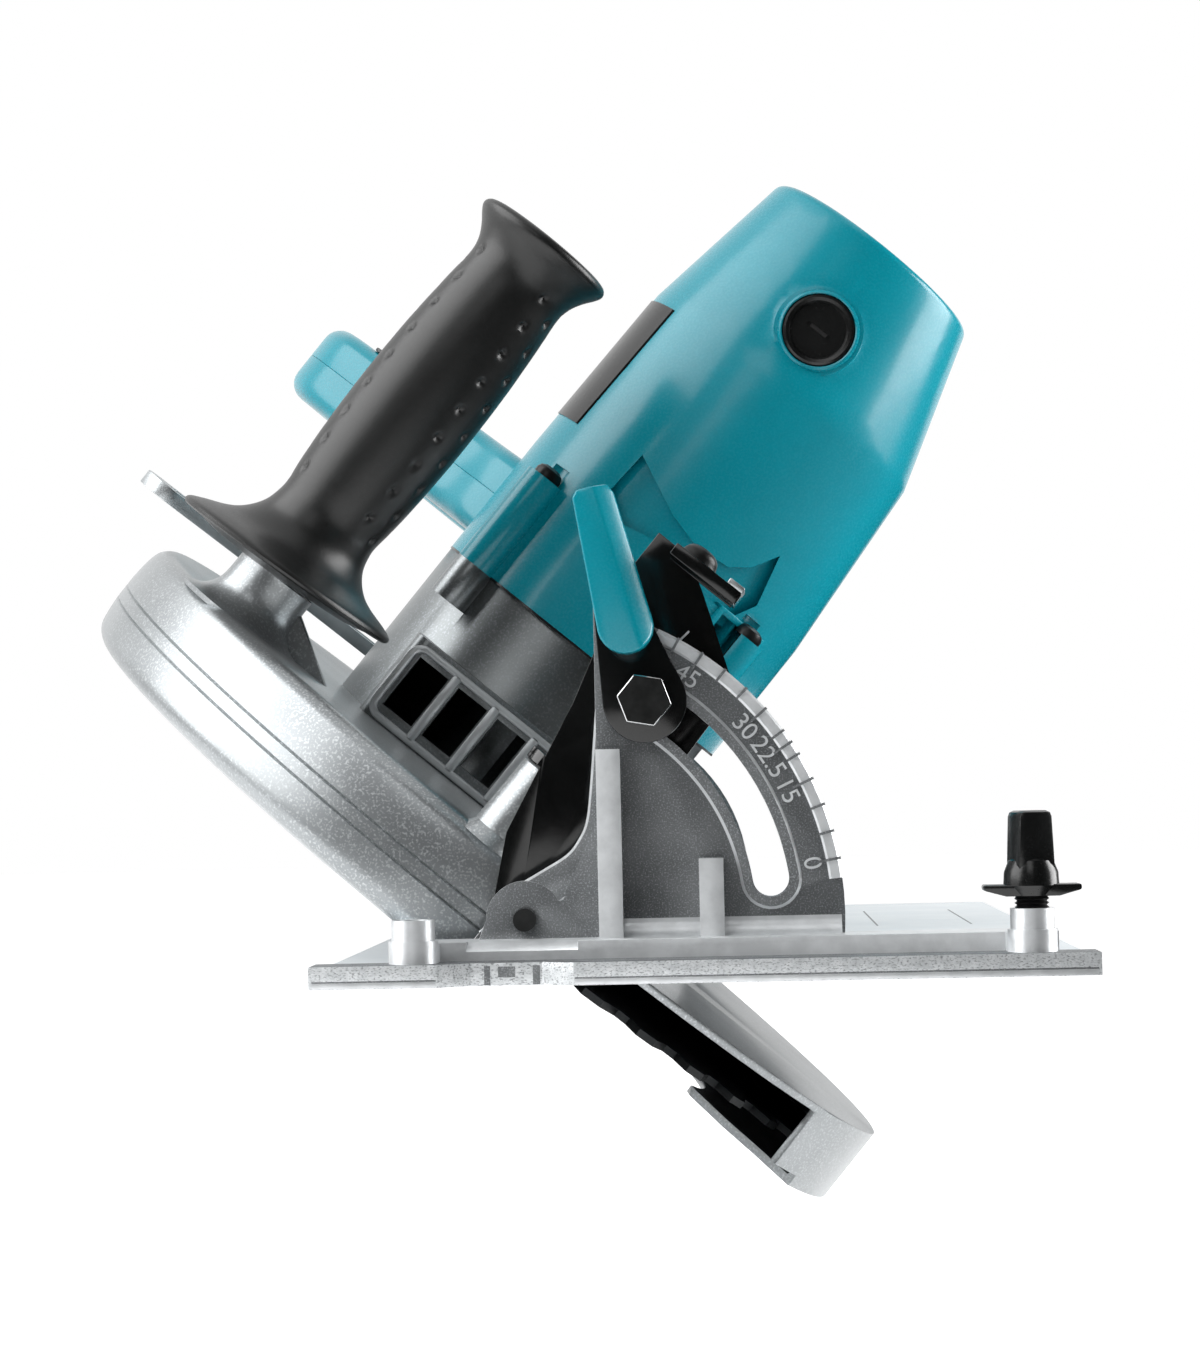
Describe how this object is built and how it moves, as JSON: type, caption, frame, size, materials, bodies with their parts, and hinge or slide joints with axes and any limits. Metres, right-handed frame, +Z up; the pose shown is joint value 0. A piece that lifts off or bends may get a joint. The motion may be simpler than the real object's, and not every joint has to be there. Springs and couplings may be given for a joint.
{
  "type": "circular saw",
  "caption": "Corded circular saw with a tilted head, cast base with bevel quadrants, swinging blade guard, geared motor, rear D handle and front grip.",
  "frame": {"origin": "on the sole, straight below the tilt axis at the front face of the front quadrant", "axes": "+X across the saw towards the motor, +Y from front to rear along the cut, +Z up from the sole"},
  "size_m": [0.2994, 0.42, 0.3244],
  "materials": {
    "cast_aluminium": "shot-blasted casting",
    "silver_casting": "silver lacquered die casting",
    "teal_housing": "satin moulded plastic",
    "black_steel": "black coated steel",
    "black_plastic": "satin black plastic",
    "black_rubber": "dimpled soft rubber",
    "plated_steel": "zinc or nickel plated",
    "bright_steel": "ground steel",
    "laminated_steel": "stacked laminations",
    "copper": "enamelled copper",
    "carbon": "pressed carbon"
  },
  "bodies": {
    "base": {"base_plate": "cast_aluminium", "tilt_pins": "black_steel"},
    "fence_knob": {"fence_knob": "black_plastic"},
    "carrier": {"front_bracket": "black_steel", "depth_pivot_pin": "plated_steel", "stop_screw": "black_steel", "stop_plate": "plated_steel", "bevel_nut": "plated_steel", "rear_bracket": "black_steel", "depth_guide": "plated_steel", "guide_rivets": "plated_steel", "rear_bolt": "plated_steel"},
    "bevel_lever": {"bevel_bolt": "black_steel", "bevel_washer": "plated_steel", "bevel_lever_arm": "black_steel", "bevel_lever_grip": "teal_housing"},
    "rear_wing_nut": {"rear_wing_nut": "plated_steel"},
    "head": {"upper_guard": "silver_casting", "gear_housing": "silver_casting", "motor_housing": "teal_housing", "nameplate": "black_plastic", "housing_screws": "black_steel", "brush_caps": "black_plastic", "brush_holders": "black_plastic", "carbon_brushes": "carbon", "stator_core": "laminated_steel", "field_coils": "copper", "fan_baffle": "black_plastic", "spindle_bearings": "bright_steel", "armature_bearings": "bright_steel", "bearing_retainer": "plated_steel", "guard_snap_ring": "plated_steel", "guard_spring": "plated_steel", "front_grip": "black_rubber", "grip_bolt": "plated_steel", "guard_screws": "plated_steel", "rear_handle_left": "teal_housing", "rear_handle_right": "teal_housing", "handle_screws": "black_steel", "switch_body": "black_plastic", "cord_gland": "black_plastic", "depth_bolt": "plated_steel"},
    "depth_lever": {"depth_lever": "black_plastic"},
    "shaft_lock": {"shaft_lock_button": "black_plastic"},
    "trigger": {"trigger": "black_plastic"},
    "lock_off": {"lock_off_button": "black_plastic"},
    "lower_guard": {"lower_guard": "silver_casting", "guard_lever": "black_plastic"},
    "spindle": {"spindle": "bright_steel", "drive_gear": "bright_steel", "inner_flange": "bright_steel", "outer_flange": "bright_steel", "blade_bolt": "bright_steel", "saw_blade": "black_steel"},
    "armature": {"armature_shaft": "bright_steel", "armature_core": "laminated_steel", "commutator": "copper", "cooling_fan": "black_plastic"}
  },
  "joints": [
    {"name": "bevel_tilt", "type": "hinge", "parent": "base", "child": "carrier", "pos_m": [0, 0, 0.01615], "axis": [0, 1, 0], "range_deg": [0, 50]},
    {"name": "depth_set", "type": "hinge", "parent": "carrier", "child": "head", "pos_m": [0.00011, 0.024, 0.04739], "axis": [0.6428, 0, 0.766], "range_deg": [0, 33]},
    {"name": "bevel_lever_turn", "type": "hinge", "parent": "carrier", "child": "bevel_lever", "pos_m": [0.03405, 0, 0.07489], "axis": [0, 1, 0], "range_deg": [-60, 0]},
    {"name": "rear_wing_turn", "type": "hinge", "parent": "carrier", "child": "rear_wing_nut", "pos_m": [0.02307, 0.34, 0.05595], "axis": [0, 1, 0], "range_deg": [-180, 180]},
    {"name": "depth_lever_turn", "type": "hinge", "parent": "head", "child": "depth_lever", "pos_m": [-0.01845, 0.30094, 0.06296], "axis": [0.6428, 0, 0.766], "range_deg": [0, 50]},
    {"name": "lower_guard_swing", "type": "hinge", "parent": "head", "child": "lower_guard", "pos_m": [-0.01325, 0.168, 0.02727], "axis": [0.6428, 0, 0.766], "range_deg": [0, 150], "stiffness_Nm_per_rad": 0.15, "springref_deg": -114.59},
    {"name": "blade_spin", "type": "hinge", "parent": "head", "child": "spindle", "pos_m": [-0.01325, 0.168, 0.02727], "axis": [0.6428, 0, 0.766], "continuous": true},
    {"name": "armature_spin", "type": "hinge", "parent": "head", "child": "armature", "pos_m": [-0.03528, 0.168, 0.04575], "axis": [0.6428, 0, 0.766], "continuous": true},
    {"name": "trigger_pull", "type": "slide", "parent": "head", "child": "trigger", "axis": [-0.766, 0, 0.6428], "range_m": [0, 0.006], "stiffness_N_per_m": 600},
    {"name": "lock_off_push", "type": "slide", "parent": "head", "child": "lock_off", "axis": [0.6428, 0, 0.766], "range_m": [-0.002, 0.002], "stiffness_N_per_m": 600},
    {"name": "shaft_lock_press", "type": "slide", "parent": "head", "child": "shaft_lock", "axis": [0, -1, 0], "range_m": [0, 0.004], "stiffness_N_per_m": 600},
    {"name": "fence_knob_turn", "type": "hinge", "parent": "base", "child": "fence_knob", "pos_m": [0.1355, -0.02, 0.02], "axis": [0, 0, 1], "range_deg": [-180, 180]}
  ],
  "couplings": [
    {"joint": "armature_spin", "follows": "blade_spin", "ratio": -3.6}
  ]
}
